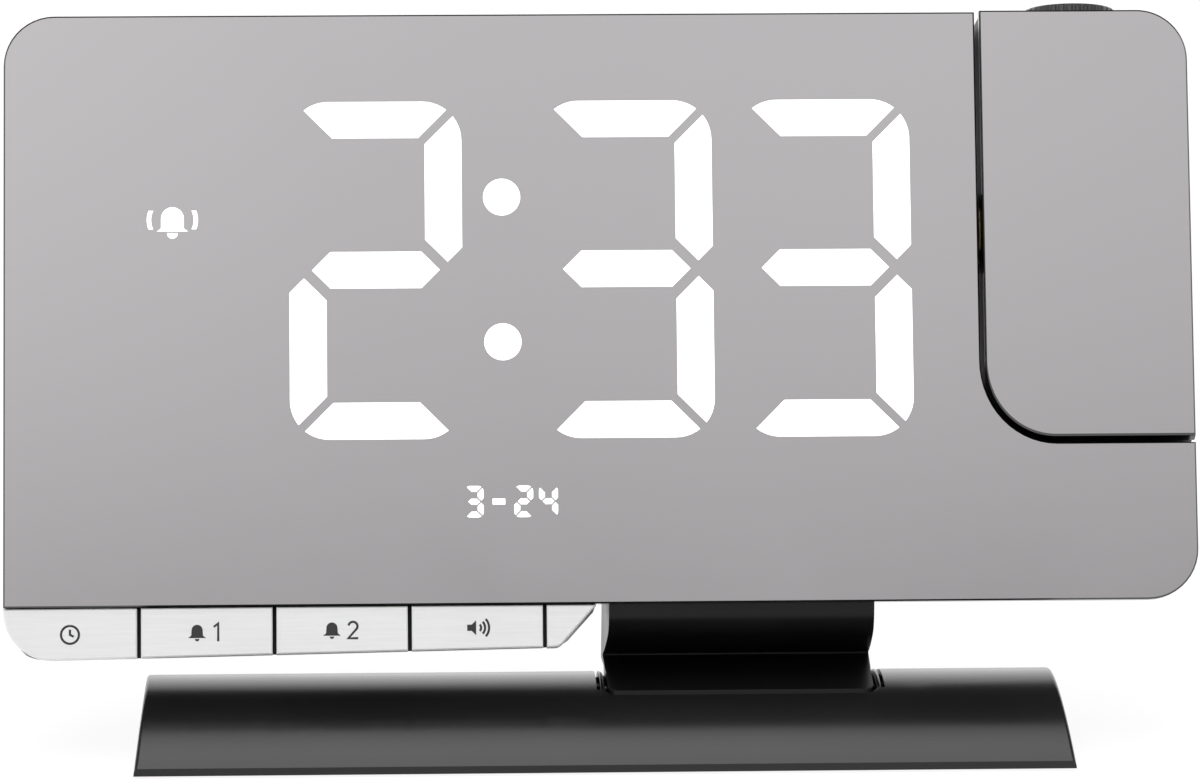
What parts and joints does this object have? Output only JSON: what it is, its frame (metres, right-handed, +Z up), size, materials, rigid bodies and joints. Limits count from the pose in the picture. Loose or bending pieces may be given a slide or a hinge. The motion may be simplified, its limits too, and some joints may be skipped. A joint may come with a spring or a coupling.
{
  "type": "projection alarm clock",
  "caption": "Mirror-faced digital alarm clock on a tilting stand, with a swivelling projector head and focus ring at its side, keys along its top and a silver key strip below the mirror.",
  "frame": {"origin": "on the table, under the middle of the whole clock's box", "axes": "+X to the user's right, +Y from the mirror to the back, +Z up"},
  "size_m": [0.188, 0.061, 0.1161],
  "materials": {
    "black_plastic": "satin, fine moulded texture",
    "black_gloss": "glossy, moulded",
    "dark_plastic": "matt, moulded",
    "mirror": "front-silvered, half-transparent over the display",
    "silver_plastic": "silver, finely brushed",
    "lit_diffuser": "lit milky diffuser",
    "white_plastic": "matt white, moulded",
    "board": "green solder mask",
    "led": "clear resin",
    "chip": "black epoxy",
    "can": "satin cans",
    "steel": "plain",
    "zinc": "zinc plated",
    "magnet": "nickel-grey ferrite",
    "paper": "black paper",
    "brass": "turned",
    "rubber": "soft, matt",
    "lens": "polished"
  },
  "bodies": {
    "base": {"base_shell": "black_gloss", "base_floor": "dark_plastic", "base_weight": "steel", "rubber_feet": "rubber", "base_screws": "zinc", "hinge_pin": "steel", "hinge_washers": "steel"},
    "clock": {"neck": "black_plastic", "neck_cover": "black_plastic", "front_case": "black_plastic", "rear_case": "black_plastic", "mirror_panel": "mirror", "case_screws": "zinc", "display_reflector": "white_plastic", "digit_hours": "lit_diffuser", "digit_minute_tens": "lit_diffuser", "digit_minute_units": "lit_diffuser", "colon_dots": "lit_diffuser", "alarm_icon": "lit_diffuser", "date_digits": "lit_diffuser", "display_board": "board", "display_leds": "led", "main_board": "board", "main_chips": "chip", "capacitors_and_crystal": "can", "board_screws": "zinc", "speaker_frame": "steel", "speaker_magnet": "magnet", "speaker_cone": "paper", "coin_cell_holder": "dark_plastic", "coin_cell": "steel", "battery_door": "black_plastic", "power_jack": "dark_plastic", "usb_socket": "steel", "strip_end_cap": "silver_plastic", "top_key_board": "board", "top_key_switches": "dark_plastic", "strip_key_board": "board", "strip_key_switches": "dark_plastic"},
    "projector_head": {"head_mirror": "mirror", "head_shell": "black_plastic", "head_back": "black_plastic", "pivot_spindle": "brass", "pivot_washer": "steel", "pivot_nut": "brass", "lcd_chip": "lens", "projection_led": "led", "head_board": "board"},
    "focus_ring": {"focus_ring": "black_gloss"},
    "lens_cell": {"lens_cell": "dark_plastic", "projection_lens": "lens"},
    "top_key_1": {"top_key_1": "black_plastic"},
    "top_key_2": {"top_key_2": "black_plastic"},
    "snooze_bar": {"snooze_bar": "black_plastic"},
    "top_key_3": {"top_key_3": "black_plastic"},
    "top_key_4": {"top_key_4": "black_plastic"},
    "strip_key_1": {"strip_key_1": "silver_plastic"},
    "strip_key_2": {"strip_key_2": "silver_plastic"},
    "strip_key_3": {"strip_key_3": "silver_plastic"},
    "strip_key_4": {"strip_key_4": "silver_plastic"}
  },
  "joints": [
    {"name": "tilt", "type": "hinge", "parent": "base", "child": "clock", "pos_m": [0.02195, -0.0035, 0.0054], "axis": [1, 0, 0], "range_deg": [-12, 10]},
    {"name": "projector_swivel", "type": "hinge", "parent": "clock", "child": "projector_head", "pos_m": [0.0609, 0.01009, 0.07927], "axis": [1, 0, 0], "range_deg": [-90, 90]},
    {"name": "focus_turn", "type": "hinge", "parent": "projector_head", "child": "focus_ring", "pos_m": [0.0766, 0.01941, 0.11177], "axis": [0, 0.2756, 0.9613], "range_deg": [-120, 120]},
    {"name": "lens_slide", "type": "slide", "parent": "projector_head", "child": "lens_cell", "axis": [0, 0.2756, 0.9613], "range_m": [-0.00125, 0.00125]},
    {"name": "top_key_1_press", "type": "slide", "parent": "clock", "child": "top_key_1", "axis": [0, -0.2756, -0.9613], "range_m": [0, 0.0006], "stiffness_N_per_m": 1000, "springref_m": -0.0005},
    {"name": "top_key_2_press", "type": "slide", "parent": "clock", "child": "top_key_2", "axis": [0, -0.2756, -0.9613], "range_m": [0, 0.0006], "stiffness_N_per_m": 1000, "springref_m": -0.0005},
    {"name": "snooze_bar_press", "type": "slide", "parent": "clock", "child": "snooze_bar", "axis": [0, -0.2756, -0.9613], "range_m": [0, 0.0006], "stiffness_N_per_m": 1000, "springref_m": -0.0005},
    {"name": "top_key_3_press", "type": "slide", "parent": "clock", "child": "top_key_3", "axis": [0, -0.2756, -0.9613], "range_m": [0, 0.0006], "stiffness_N_per_m": 1000, "springref_m": -0.0005},
    {"name": "top_key_4_press", "type": "slide", "parent": "clock", "child": "top_key_4", "axis": [0, -0.2756, -0.9613], "range_m": [0, 0.0006], "stiffness_N_per_m": 1000, "springref_m": -0.0005},
    {"name": "strip_key_1_press", "type": "slide", "parent": "clock", "child": "strip_key_1", "axis": [0, 0.9613, -0.2756], "range_m": [0, 0.0005], "stiffness_N_per_m": 1000, "springref_m": -0.0005},
    {"name": "strip_key_2_press", "type": "slide", "parent": "clock", "child": "strip_key_2", "axis": [0, 0.9613, -0.2756], "range_m": [0, 0.0005], "stiffness_N_per_m": 1000, "springref_m": -0.0005},
    {"name": "strip_key_3_press", "type": "slide", "parent": "clock", "child": "strip_key_3", "axis": [0, 0.9613, -0.2756], "range_m": [0, 0.0005], "stiffness_N_per_m": 1000, "springref_m": -0.0005},
    {"name": "strip_key_4_press", "type": "slide", "parent": "clock", "child": "strip_key_4", "axis": [0, 0.9613, -0.2756], "range_m": [0, 0.0005], "stiffness_N_per_m": 1000, "springref_m": -0.0005}
  ],
  "couplings": [
    {"joint": "focus_turn", "follows": "lens_slide", "rad_per_m": 1570.8}
  ]
}
